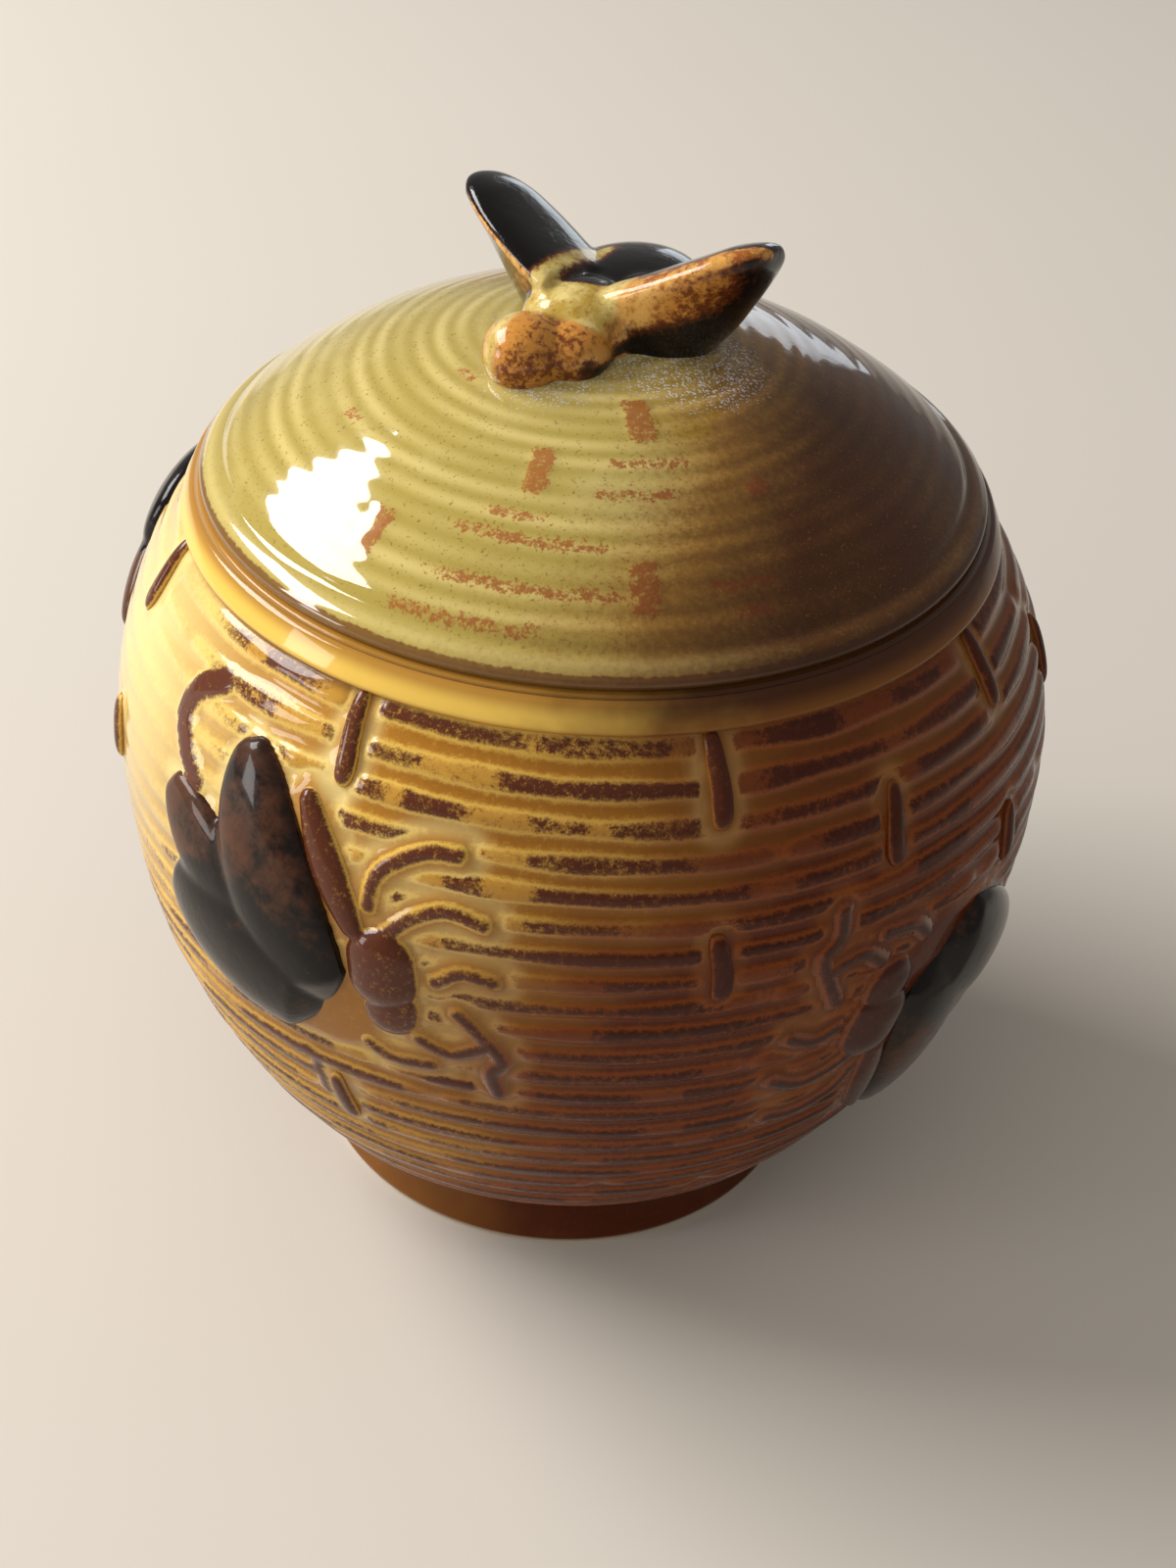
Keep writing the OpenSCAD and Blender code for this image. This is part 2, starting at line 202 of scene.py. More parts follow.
def leaf(t, root, belly=0.42):
    """Width of a leaf along its length, 1 at its widest."""
    t = np.clip(t, 0, 1)
    s = np.where(t < belly, t / belly, (1 - t) / (1 - belly))
    rising = root + (1 - root) * np.sin(pi / 2 * s)
    falling = np.sqrt(np.clip(1 - (1 - s) ** 2, 0, 1))
    return np.where(t < belly, rising, falling)


def off_light_side(angle):
    """0 on the side towards the lamps, where the glaze is lightest, rising to 1 on the other side."""
    return 0.5 - 0.5 * np.cos(np.radians(angle - LIGHT_SIDE))


def deep_and_shaded_side(angle):
    """0 on the side where the wall's glaze is light, 1 where it is deep brown: in part its own colour, in
    part painted shade away from the lamps.
    """
    return smooth(0.03, 0.5, off_light_side(angle))


def wall_shade(angle, level):
    """How deep the wall's glaze is, with painted shade: it darkens to the far side from the lamps and to the
    foot, in part its own colour and in part painted shade.
    """
    deep = deep_and_shaded_side(angle)
    low = smooth(76, 46, level) * (0.26 + 0.42 * np.sqrt(deep)) + 0.4 * smooth(30, 8, level)
    return np.clip(0.82 * deep ** 1.3 + low, 0, 1)


# Meshes


def finish_mesh(bm, name):
    """Turns a bmesh that holds millimetres into a mesh object in metres."""
    bmesh.ops.recalc_face_normals(bm, faces=bm.faces)
    bmesh.ops.scale(bm, vec=(MM, MM, MM), verts=bm.verts)
    for f in bm.faces:
        f.smooth = True
    mesh = bpy.data.meshes.new(name)
    bm.to_mesh(mesh)
    bm.free()
    piece = bpy.data.objects.new(name, mesh)
    bpy.context.scene.collection.objects.link(piece)
    return piece


def places_of(verts):
    return np.array([v.co[:] for v in verts])


def move_to(verts, co):
    for v, p in zip(verts, co.tolist()):
        v.co = p


def mesh_places(piece):
    co = np.empty(len(piece.data.vertices) * 3)
    piece.data.vertices.foreach_get("co", co)
    return co.reshape(-1, 3) / MM


def round_the_pot(co):
    """Radius, level and angle in degrees of points."""
    return np.hypot(co[:, 0], co[:, 1]), co[:, 2], np.degrees(np.arctan2(co[:, 1], co[:, 0]))


def paint(piece, **masks):
    """Puts one number per vertex on a piece under each name, for its glaze to read."""
    count = len(piece.data.vertices)
    for name, values in masks.items():
        layer = piece.data.attributes.new(name, "FLOAT", "POINT")
        layer.data.foreach_set("value", np.broadcast_to(values, count).astype(np.float32))


def spun(outline, columns):
    """A closed round form from its outline of radius and level, which starts and ends on the axis."""
    bm = bmesh.new()
    bmesh.ops.create_grid(bm, x_segments=columns, y_segments=len(outline) - 1, size=0.5)
    across, along, _ = (places_of(bm.verts) + 0.5).T
    r, z = np.array(outline)[np.rint(along * (len(outline) - 1)).astype(int)].T
    turn = 2 * pi * across
    move_to(bm.verts, np.stack([r * np.cos(turn), r * np.sin(turn), z], axis=-1))
    bmesh.ops.remove_doubles(bm, verts=bm.verts, dist=0.002)
    return bm


def pillow(bm, around, along):
    """A new ball: its vertices, the share along it, and the sides of its rings, each from -1 to 1."""
    verts = bmesh.ops.create_uvsphere(bm, u_segments=around, v_segments=along, radius=1)["verts"]
    x, y, z = places_of(verts).T
    ring = np.maximum(np.sqrt(np.clip(1 - z * z, 0, 1)), 1e-6)
    return verts, 0.5 + 0.5 * z, np.clip(x / ring, -1, 1), np.clip(y / ring, -1, 1)


CLAY_GRAIN = 0.3


def as_clay(bm, name, rounds):
    """Lumps pressed into one soft body, remeshed and smoothed."""
    rough = finish_mesh(bm, name)
    remesh = rough.modifiers.new("clay", "REMESH")
    remesh.mode, remesh.voxel_size = "VOXEL", CLAY_GRAIN * MM
    graph = bpy.context.evaluated_depsgraph_get()
    made = bpy.data.meshes.new_from_object(rough.evaluated_get(graph))
    bpy.data.objects.remove(rough)
    soft = bmesh.new()
    soft.from_mesh(made)
    bpy.data.meshes.remove(made)
    for _ in range(rounds):
        bmesh.ops.smooth_vert(soft, verts=soft.verts, factor=0.5,
                              use_axis_x=True, use_axis_y=True, use_axis_z=True)
    bmesh.ops.scale(soft, vec=(1 / MM,) * 3, verts=soft.verts)
    return soft


# Pot

# Steps round the pot in the tables of straw.
TABLE = 1440
# The straw at the front, as brown stretches of the upper coils: from, to, how brown.
FRONT_STRAW = {
    0: [(-118, -96, 1.0), (-95, -78, 0.7)],
    1: [(-122, -108.5, 0.95), (-99, -75, 0.95)],
    2: [(-119, -112, 0.8), (-110, -102, 0.9), (-95, -88, 0.7), (-86, -70, 0.95)],
    3: [(-120, -104, 0.95), (-95, -76, 0.9)],
    4: [(-104, -99, 0.8), (-94, -70, 0.95)],
}
# Share of the gaps in the straw where the coil dips, and half the width of a dip in degrees.
DIP_SHARE, DIP_W = 0.3, 1.4


def stretch(at, start, run, fade_out, fade_in):
    """1 along a stretch of a coil, fading outside and inside its two ends."""
    half = run / 2
    return smooth(half + fade_out, half - fade_in, np.abs(turned_by(at, start + half)))


def straw_table():
    """Where the crest of each coil is brown, and where it dips, over the angle round the pot."""
    rng = np.random.default_rng(41)
    at = np.arange(TABLE) * 360 / TABLE - 180
    brown, dip = np.zeros((COIL_COUNT, TABLE)), np.zeros((COIL_COUNT, TABLE))
    for coil in range(COIL_COUNT):
        a = rng.uniform(-180, -165)
        while a < 180:
            run, gap = rng.uniform(9, 34), rng.uniform(1.5, 13)
            strength = rng.uniform(0.75, 1)
            brown[coil] = np.maximum(brown[coil], strength * stretch(at, a, run, 0.8, 1.6))
            if rng.uniform() < DIP_SHARE:
                dip[coil] = np.maximum(dip[coil], bell(turned_by(at, a + run + gap / 2), 0, DIP_W))
            a += run + gap
    front = smooth(-128, -122, at) * smooth(-64, -70, at)
    for coil, spans in FRONT_STRAW.items():
        named = np.zeros(TABLE)
        for start, end, strength in spans:
            named = np.maximum(named, strength * stretch(at, start, end - start, 0.9, 1.2))
        brown[coil] = brown[coil] * (1 - front) + named * front
        dip[coil] *= 1 - front
    return brown, dip


STRAW, DIPS = straw_table()


def read_table(table, coil, angle):
    """Value of a table at angles round the pot, between its steps."""
    at = (angle + 180) * TABLE / 360
    low = np.floor(at).astype(int)
    share = at - low
    return table[coil, low % TABLE] * (1 - share) + table[coil, (low + 1) % TABLE] * share


def coils(angle, level):
    """Height of the coils from 0 to 1 at points of the wall, and how brown their crests are."""
    a = np.radians(angle)
    wave = 0.16 * np.sin(3 * a + 0.6) + 0.1 * np.sin(7 * a + level * 0.2) + 0.05 * np.sin(17 * a + level)
    u = (COIL_TOP_Z + wave - level) / COIL_PITCH
    coil = np.clip(np.round(u), 0, COIL_COUNT - 1).astype(int)
    d = np.abs(u - coil) * COIL_PITCH
    swell = 0.12 * np.sin(11 * a + coil * 1.9) + 0.08 * np.sin(23 * a + coil * 4.1)
    ridge = 1 - smooth(0.3 + swell, 1.38 + 0.5 * swell, d)
    away = np.abs(turned_by(angle, FAINT_SPOT[0])) + 1.2 * np.abs(level - FAINT_SPOT[1])
    faint = smooth(16, 44, away)
    low = smooth(10.5, 15.5, level)
    strength = 0.9 + 0.1 * np.sin(5 * a + coil * 2.4)
    height = ridge * low * (0.18 + 0.82 * faint) * strength * (1 - 0.75 * read_table(DIPS, coil, angle))
    return height, read_table(STRAW, coil, angle) * (0.3 + 0.7 * faint)


def near_stitches(angle, level):
    """Distance of points of the wall to the nearest stitch, along the wall."""
    best = np.full(angle.shape, 99.0)
    half = STITCH_LEN / 2 - STITCH_W / 2
    for a0, z0 in all_stitches():
        x, y = turned_by(angle, a0) * pi / 180 * wall_point(z0)[0], level - z0
        near = (np.abs(x) < 8) & (np.abs(y) < 10)
        d, _ = to_segment(x[near], y[near], (0, -half), (0, half))
        best[near] = np.minimum(best[near], d - STITCH_W / 2)
    return best


def lobe_distance(x, y, lobe):
    """Distance of points of a bee's sheet to the edge of a wing's lobe, below 0 inside it."""
    off, t = to_segment(x, y, lobe[0], lobe[1])
    return off - lobe[2] / 2 * leaf(t, lobe[3])


def near_bees(angle, level):
    """Distance of points of the wall to the nearest wing, body or leg."""
    best = np.full(angle.shape, 99.0)
    for place in BEES.values():
        x, y = to_sheet(place, angle, level)
        near = np.hypot(x - BEE_MIDDLE[0], y - BEE_MIDDLE[1]) < BEE_REACH
        xs, ys = x[near], y[near]
        parts = [lobe_distance(xs, ys, lobe) for lobe in BEE_WINGS]
        parts += [to_segment(xs, ys, start, end)[0] - w / 2 for start, end, w in BEE_BODY + [BEE_BAR]]
        parts += [to_path(xs, ys, path) - LEG_W / 2 for path in BEE_LEGS]
        best[near] = np.minimum(best[near], np.min(parts, axis=0))
    return best


def near_marks(angle, level):
    """How strongly the loose marks of the wall lie over its points."""
    marked = np.zeros(angle.shape)
    for path, half in WALL_MARKS:
        middle = path[0][0]
        flat = [(turned_by(a, middle) * pi / 180 * BELLY_R * 0.9, z) for a, z in path]
        off = to_path(turned_by(angle, middle) * pi / 180 * BELLY_R * 0.9, level, flat)
        marked = np.maximum(marked, smooth(half + 0.5, half - 0.5, off))
    return marked


def arc_points(centre, size, first, last, count):
    """Points of a quarter round or less, given its centre, its two half widths and its angles."""
    turns = [radians(first + (last - first) * i / (count - 1)) for i in range(count)]
    return [(centre[0] + size[0] * cos(t), centre[1] + size[1] * sin(t)) for t in turns]


def pot_outline():
    """Radius and level round the pot: foot, bare wall, collar, rim, bowl."""
    ring_in = FOOT_R - FOOT_RING
    foot = [
        (0, FOOT_HOLLOW), (12, FOOT_HOLLOW), (ring_in - 1.4, FOOT_HOLLOW),
        (ring_in - 0.4, 0.6), (ring_in + 0.5, 0.0), (FOOT_R - 1.2, 0.0),
        (FOOT_R - 0.4, 0.25), (FOOT_R - 0.05, 0.9), (FOOT_R, 1.6),
    ]
    low_len = -np.arcsin((WALL_LOW - BELLY_Z) / LOWER_ARC) * LOWER_ARC
    high_len = np.arcsin((GROOVE_Z - BELLY_Z) / UPPER_ARC) * UPPER_ARC
    wall = []
    for s in np.linspace(-low_len, high_len, WALL_ROWS):
        arc = LOWER_ARC if s < 0 else UPPER_ARC
        z = BELLY_Z + arc * sin(s / arc)
        wall.append((float(wall_point(z)[0]), z))
    neck = float(wall_point(GROOVE_Z)[0])
    low_r = neck + COLLAR_OUT - 0.3
    collar = arc_points((low_r - 0.9, GROOVE_Z + 0.95), (0.9, 0.75), -50, 35, 6)
    collar += arc_points((RIM_R - 0.7, RIM_Z - 1.15), (1.2, 0.95), 32, 90, 6)
    rim = [
        (RIM_R - 0.25, RIM_Z - 0.2), (RIM_R - 0.9, RIM_Z), (MOUTH_R + 1.4, RIM_Z),
        (MOUTH_R + 0.45, RIM_Z - 0.2), (MOUTH_R, RIM_Z - 0.8), (MOUTH_R, RIM_Z - THROAT_H),
    ]
    low = FLOOR_T + BOWL_CORNER
    bowl = [tuple(map(float, wall_point(z, -WALL))) for z in np.linspace(RIM_Z - THROAT_H - 2, low, 9)]
    corner = arc_points((bowl[-1][0] - BOWL_CORNER, low), (BOWL_CORNER, BOWL_CORNER), -30, -90, 3)
    return foot + wall + collar + rim + bowl + corner + [(10, FLOOR_T), (0, FLOOR_T)]


def make_pot():
    """The pot: coils, hollows round stitches and bees, and the masks of its glaze."""
    bm = spun(pot_outline(), POT_COLUMNS)
    co = places_of(bm.verts)
    r, level, angle = round_the_pot(co)
    outer = (np.abs(r - wall_point(level)[0]) < 0.02) & (level > WALL_LOW - 0.1) & (level < GROOVE_Z + 0.01)
    a, z = angle[outer], level[outer]
    stitch, bee, marked = near_stitches(a, z), near_bees(a, z), near_marks(a, z)
    clear = smooth(0.1, 0.9, stitch) * smooth(0.0, 1.0, bee)
    height, brown = coils(a, z)
    height = np.maximum(height * clear, 0.95 * marked)
    hollow = 0.12 * bell(bee, 0.8, 0.8) + 0.1 * bell(stitch, 0.6, 0.6)
    hump = 0.35 * smooth(0.8, -0.4, bee) + 0.2 * smooth(0.5, -0.3, stitch)
    groove = 0.1 * bell(z, GROOVE_Z - 0.4, 0.5)
    out = np.clip(height * COIL_RISE - hollow + hump - groove - 0.03, -0.5, COIL_RISE)
    new_r, new_z = wall_point(z, out)
    turn = np.radians(a)
    co[outer] = np.stack([new_r * np.cos(turn), new_r * np.sin(turn), new_z], axis=-1)
    move_to(bm.verts, co)
    masks = {name: np.zeros(len(co)) for name in ("ridge", "straw", "pool", "line")}
    masks["ridge"][outer] = height
    masks["straw"][outer] = np.maximum(brown, 1.2 * marked)
    # Pale glaze on the side towards the lamps, in part painted light.
    pale = 1.1 * bell(np.hypot(turned_by(a, PALE_LIT_SPOT[0]), 1.3 * (z - PALE_LIT_SPOT[1])), 0, 27)
    masks["pool"][outer] = np.clip(0.6 * bell(bee, 0.9, 0.9) + 0.6 * bell(stitch, 0.7, 0.8) + pale, 0, 1)
    outside = r > MOUTH_R + 2
    on_left = smooth(60, 30, np.abs(turned_by(angle, -160)))
    masks["line"] = bell(level, GROOVE_Z + 0.1, 0.45) * on_left * outside
    masks["collar"] = np.clip((level - GROOVE_Z) / (RIM_Z - GROOVE_Z), 0, 1) * outside
    masks["shade"] = wall_shade(angle, level)
    inner_wall = (above_wall(r, level) < -2.5) & (level > CURVE_LOW)
    masks["inside"] = inner_wall | ((r < MOUTH_R + 0.7) & (level > 70))
    pot = finish_mesh(bm, "beehive_pot")
    paint(pot, **masks)
    return pot


def make_stitches():
    """Short upright bars over the coils."""
    bm = bmesh.new()
    rng = np.random.default_rng(7)
    for a0, z0 in all_stitches():
        verts, t, x, z = pillow(bm, 20, 22)
        y = 2 * t - 1
        lean, grow, wide = rng.uniform(-5, 3), rng.uniform(0.9, 0.98), rng.uniform(0.88, 1.05)
        full = np.sqrt(1 - np.abs(y) ** 5)
        across = np.abs(x * full) ** 0.8 * np.sign(x)
        bend = 0.12 * STITCH_W * np.sin(2.2 * y + a0)
        up = np.where(z > 0, STITCH_RISE * (0.98 - 0.12 * y * y), 0.8) * z * full
        sheet_x = across * STITCH_W / 2 * wide * (1 - 0.1 * y) + bend
        move_to(verts, lay_on_wall((a0, z0, lean), sheet_x, y * STITCH_LEN / 2 * grow, up))
    piece = finish_mesh(bm, "wall_stitches")
    r, level, angle = round_the_pot(mesh_places(piece))
    paint(piece, ridge=smooth(0.05, 0.8, above_wall(r, level)), straw=1.0, shade=wall_shade(angle, level))
    return piece


# Bees of the wall


def make_wings(name, place):
    """The lobes of a folded pair of wings, pressed together."""
    bm = bmesh.new()
    for start, end, width, root, rise in BEE_WINGS:
        verts, t, cx, cz = pillow(bm, 48, 40)
        run = np.array(end) - np.array(start)
        length = np.hypot(*run)
        along, across = run / length, np.array([-run[1], run[0]]) / length
        blunt = np.sqrt(np.clip(t / 0.14, 0, 1))
        full = leaf(0.012 + 0.976 * t, root) * blunt
        h = rise * (0.3 + 0.7 * full) * np.minimum(blunt, np.sqrt(np.clip((1 - t) / 0.03, 0, 1)))
        up = np.where(cz > 0, h * np.abs(cz) ** 0.8, -1.1 * np.abs(cz))
        side = np.abs(cx) ** 0.85 * np.sign(cx)
        p = np.array(start) + along * (length * t)[:, None] + across * (width / 2 * full * side)[:, None]
        move_to(verts, lay_on_wall(place, p[:, 0], p[:, 1], up - 0.2))
    piece = finish_mesh(as_clay(bm, "lobes", 4), name + "_bee_wings_glazed")
    r, level, angle = round_the_pot(mesh_places(piece))
    x, y = to_sheet(place, angle, level)
    under, middle = [lobe_distance(x, y, lobe) for lobe in BEE_WINGS[:2]]
    # Painted shade: the creases between the lobes are darkened where they stand proud.
    crease = bell(np.minimum(np.abs(under), np.abs(middle) + 9 * (under < 0)), 0, 0.7)
    paint(piece, worn=smooth(0.2, 2.5, under) * (0.55 + 0.45 * smooth(-1, 2.5, middle)),
          crease=crease * (above_wall(r, level) > 0.6))
    return piece


def body_height(x, y):
    """Relief of body, bar and legs over the sheet: soft, as pressed in a mould."""
    lumps, near = [], []
    for start, end, width in BEE_BODY:
        d, _ = to_segment(x, y, start, end)
        crown = np.sqrt(np.clip(1 - (d / (width / 2 + 0.2)) ** 2, 0, 1))
        lumps.append(BODY_RELIEF * width / THORAX_W * crown)
        near.append(d - width / 2)
    body, beside = np.max(lumps, axis=0), np.clip(np.min(near, axis=0), 0, 9)
    off, along = to_segment(x, y, BEE_BAR[0], BEE_BAR[1])
    half = BEE_BAR[2] / 2 * (0.45 + 0.55 * np.sin(pi * np.clip(0.12 + 0.8 * along, 0, 1)))
    bar = BAR_RELIEF * np.sqrt(np.clip(1 - (off / half) ** 2, 0, 1))
    legs = np.max([LEG_RELIEF * bell(to_path(x, y, path), 0, LEG_W * 0.52) for path in BEE_LEGS], axis=0)
    halo = 0.3 * bell(beside, 0, 1.4)
    return (np.stack([body, bar, legs, halo]) ** 3).sum(axis=0) ** (1 / 3)


BODY_GRID = 0.22
BODY_AREA = ((-14, -14.5), (15, 19))
# Depths into the wall: of the sheet's ground, of what is cut off it as bare, and of its back.
BODY_GROUND, BODY_BARE, BODY_BACK = 0.28, 0.24, 1.4


def make_body(name, place):
    """Body, bar and legs of a bee of the wall: one soft sheet of relief with a back."""
    (x0, y0), (x1, y1) = BODY_AREA
    bm = bmesh.new()
    columns, rows = int((x1 - x0) / BODY_GRID), int((y1 - y0) / BODY_GRID)
    bmesh.ops.create_grid(bm, x_segments=columns, y_segments=rows, size=0.5)
    flat = places_of(bm.verts)
    x, y = x0 + (flat[:, 0] + 0.5) * (x1 - x0), y0 + (flat[:, 1] + 0.5) * (y1 - y0)
    sunk = body_height(x, y) - BODY_GROUND
    move_to(bm.verts, lay_on_wall(place, x, y, sunk))
    bm.verts.index_update()
    bare = [f for f in bm.faces if all(sunk[v.index] < -BODY_BARE for v in f.verts)]
    bmesh.ops.delete(bm, geom=bare, context="FACES")
    made = bmesh.ops.extrude_edge_only(bm, edges=[e for e in bm.edges if e.is_boundary])["geom"]
    back = [v for v in made if isinstance(v, bmesh.types.BMVert)]
    shrink = 1 - BODY_BACK / BELLY_R
    move_to(back, places_of(back) * (shrink, shrink, 1))
    bmesh.ops.holes_fill(bm, edges=[e for e in bm.edges if e.is_boundary], sides=0)
    piece = finish_mesh(bm, name + "_bee_body_glazed")
    r, level, angle = round_the_pot(mesh_places(piece))
    relief = np.clip(above_wall(r, level), 0, 3)
    paint(piece, ridge=smooth(0.08, 0.85, relief), straw=1.0, pool=0.7 * smooth(0.4, 0.0, relief),
          shade=wall_shade(angle, level))
    return piece


# Lid

# Stitches of the lid: angle, inner and outer radius, width. Dashes: radius, from, to.
LID_STITCHES = [(-76.5, 14, 19.5, 3.0), (-102.6, 20.7, 25.8, 2.6), (-127.6, 30.7, 35, 2.6),
                (-81, 31, 35.6, 3.0), (-54, 25, 26.9, 2.8)]
LID_DASHES = [(30, -116, -85.5), (34, -116, -84), (34, -71.5, -58), (25.2, -91, -71), (26, -158, -150),
              (22, -88, -66), (37.2, -120, -96), (28, -112, -97), (36, -69, -60), (16, -150, -138)]


def lid_outline():
    """Radius and level round the lid: dome, edge, flange, hollow."""
    start = np.arcsin(LID_R / DOME_R)
    turns = [start * i / (LID_ROWS - 1) for i in range(LID_ROWS)]
    top = [(DOME_R * sin(t), DOME_Z + DOME_R * cos(t)) for t in turns]
    inner_r, under = FLANGE_R - FLANGE_T, RIM_Z - FLANGE_H
    edge = [
        (LID_R, LID_LOW - 0.5), (LID_R - 0.15, RIM_Z + 0.35), (LID_R - 0.6, RIM_Z + 0.02),
        (FLANGE_R + 1.5, RIM_Z + 0.02), (FLANGE_R, RIM_Z - 0.2), (FLANGE_R, under + 0.5),
        (FLANGE_R - 0.5, under), (inner_r + 0.5, under), (inner_r, under + 0.5),
    ]
    inner = DOME_R - LID_WALL
    turn = degrees(np.arcsin(inner_r / inner))
    return top + edge + arc_points((0, DOME_Z), (inner, inner), 90 - turn, 90, 11)


def make_lid():
    """The lid: fine rings, raised stitches, and the masks of its glaze."""
    bm = spun(lid_outline(), LID_COLUMNS)
    co = places_of(bm.verts)
    r, z, angle = round_the_pot(co)
    # The levels as they are before the points move.
    z = z.copy()
    arc = np.hypot(r, z - DOME_Z)
    outer = (np.abs(arc - DOME_R) < 0.02) & (z > LID_LOW - 0.01)
    a, rr, turn = angle[outer], r[outer], np.radians(angle[outer])
    wave = 0.12 * np.sin(2 * turn + 1) + 0.08 * np.sin(5 * turn + rr * 0.3)
    u = (RING_FIRST + wave - rr) / RING_PITCH
    rings = (0.5 + 0.5 * np.cos(2 * pi * u)) * smooth(-0.4, 0.1, u) * smooth(5.0, 10.0, rr)
    rings *= 0.65 + 0.35 * np.sin(3 * turn + np.round(u) * 1.7)
    rust, proud = np.zeros(len(rr)), np.zeros(len(rr))
    for at, low, high, w in LID_STITCHES:
        x = turned_by(a, at) * pi / 180 * rr
        across = smooth(w / 2 + 0.4, w / 2 - 0.6, np.abs(x))
        mask = across * smooth(low - 0.6, low + 0.6, rr) * smooth(high + 0.6, high - 0.6, rr)
        rust, proud = np.maximum(rust, mask), np.maximum(proud, mask)
    for at_r, start, end in LID_DASHES:
        x = np.abs(turned_by(a, (start + end) / 2)) - (end - start) / 2
        rust = np.maximum(rust, 0.8 * smooth(2.0, -3.0, x) * smooth(1.0, 0.2, np.abs(rr - at_r - wave)))
    lip = 0.1 * bell(rr, 39.3, 0.55) - 0.3 * bell(rr, 38.1, 0.55)
    lift = np.clip(0.04 * rings - 0.02 + 0.1 * proud + lip, -0.4, 0.2)
    scale = (DOME_R + lift) / DOME_R
    co[outer] = (co[outer] - (0, 0, DOME_Z)) * scale[:, None] + (0, 0, DOME_Z)
    wide = np.hypot(co[:, 0], co[:, 1])
    co[:, :2] *= np.where(wide > LID_R, LID_R / np.maximum(wide, 1e-6), 1)[:, None]
    move_to(bm.verts, co)
    lid = finish_mesh(bm, "beehive_lid")
    masks = {name: np.zeros(len(co)) for name in ("ridge", "rust", "dust")}
    masks["ridge"][outer], masks["rust"][outer] = rings, rust
    along = cos(KNOB_TURN) * co[outer, 0] + sin(KNOB_TURN) * co[outer, 1]
    beside = -sin(KNOB_TURN) * co[outer, 0] + cos(KNOB_TURN) * co[outer, 1]
    foot = np.minimum(to_segment(along, beside, (9, 0), (-8, 0))[0] - 5,
                      to_segment(along, beside, (1, -8), (0, 9))[0] - 6)
    one_side = 0.35 + 0.65 * smooth(-7, 3, beside)
    masks["dust"][outer] = smooth(5.5, 0.5, foot) * one_side * smooth(-13, -4, along)
    masks["edge"] = smooth(LID_R - 0.75, LID_R - 0.15, r) * (z > RIM_Z + 0.2)
    masks["lip"] = bell(r, 39.1, 0.6) * (z > RIM_Z + 0.2)
    # Painted shade on the lid: darker away from the lamps, towards the rim at the front and a little near the
    # knob; in part the lid's own browner glaze.
    side = smooth(0.14, 0.8, off_light_side(angle))
    rim, top = smooth(22, 37, r), smooth(28, 2, r)
    front = bell(turned_by(angle, -82), 0, 34)
    shade = side * (smooth(2, 26, r) + 0.3 * rim) + 0.15 * top + 0.34 * rim * front
    masks["shade"] = np.clip(shade, 0, 1)
    masks["inside"] = (z < RIM_Z + 0.1) | ((arc < DOME_R - 2) & (z > RIM_Z - 5))
    paint(lid, **masks)
    return lid


# Bee on the lid, in its own frame: x to the head, z up from the top of the dome

# Head, cheek, thorax, abdomen and the clay they stand on: middle, radii.
KNOB_LUMPS = [
    ((11.6, -1.0, 0.2), (4.3, 4.2, 3.9)),
    ((8.4, 2.6, 0.3), (3.8, 3.5, 3.2)),
    ((4.0, 0, 1.2), (5.8, 6.0, 4.0)),
    ((-4.8, -0.6, 0.7), (9.4, 7.6, 4.1)),
    ((-1.0, 0, -1.4), (12.4, 7.0, 2.2)),
]
# Wings: side, foot along x, length, sweep, foot level, rise.
KNOB_WINGS = [(-1, 1.4, 17.3, 3.6, 3.2, 6.1), (1, -0.6, 17.1, 2.5, 2.6, 8.6)]
WING_W, WING_FOOT, WING_SPAN, WING_TIP = 12.5, 2.0, 15.3, radians(14)
# Fullness of a wing's root, and where along it the wing is widest.
WING_LEAF = (0.95, 0.34)


def knob_turned(p, up):
    """Between the bee's own frame and the pot's: up is 1 to the pot's and -1 back."""
    c, s = cos(KNOB_TURN), sin(KNOB_TURN) * up
    x, y, z = (p - (0, 0, DOME_TOP if up < 0 else 0)).T
    return np.stack([x * c - y * s, x * s + y * c, z + (DOME_TOP if up > 0 else 0)], axis=-1)


def make_knob():
    """The bee that is the knob, one soft lump of clay: bodies and wings grown together."""
    bm = bmesh.new()
    for at, radii in KNOB_LUMPS:
        verts = bmesh.ops.create_uvsphere(bm, u_segments=40, v_segments=28, radius=1)["verts"]
        move_to(verts, places_of(verts) * radii + at)
    for side, foot_x, length, sweep, foot_z, rise in KNOB_WINGS:
        verts, t, cx, cz = pillow(bm, 44, 44)
        full = leaf(0.01 + 0.98 * t, *WING_LEAF) ** 0.7
        across = (WING_W / 2 - 0.1) * full * cx
        over = 3.0 * np.minimum(1, 1.15 * full)
        under = (11 * np.clip(1 - t, 0, 1) ** 0.8 + 2.4) * np.minimum(1, 1.15 * full)
        up = np.where(cz > 0, over, under) * cz + 0.7 * cx * cx * full - 0.8
        set_back = (3.2 if side < 0 else 0.4) * np.where(cz < 0, np.abs(cz), 0) ** 0.7
        x = foot_x - sweep * t + across * cos(WING_TIP) - set_back
        y = side * (WING_FOOT + (length - WING_FOOT) * t + 0.1 * across)
        move_to(verts, np.stack([x, y, foot_z + rise * t ** 1.1 + across * sin(WING_TIP) + up], axis=-1))
    move_to(bm.verts, knob_turned(places_of(bm.verts), 1))
    soft = as_clay(bm, "lumps", 8)
    co = places_of(soft.verts) - (0, 0, DOME_Z)
    far = np.maximum(np.linalg.norm(co, axis=1), 1e-6)
    co *= np.maximum(1, (DOME_R - 2.5) / far)[:, None]
    move_to(soft.verts, co + (0, 0, DOME_Z))
    knob = finish_mesh(soft, "bee_knob")
    paint_knob(knob)
    return knob


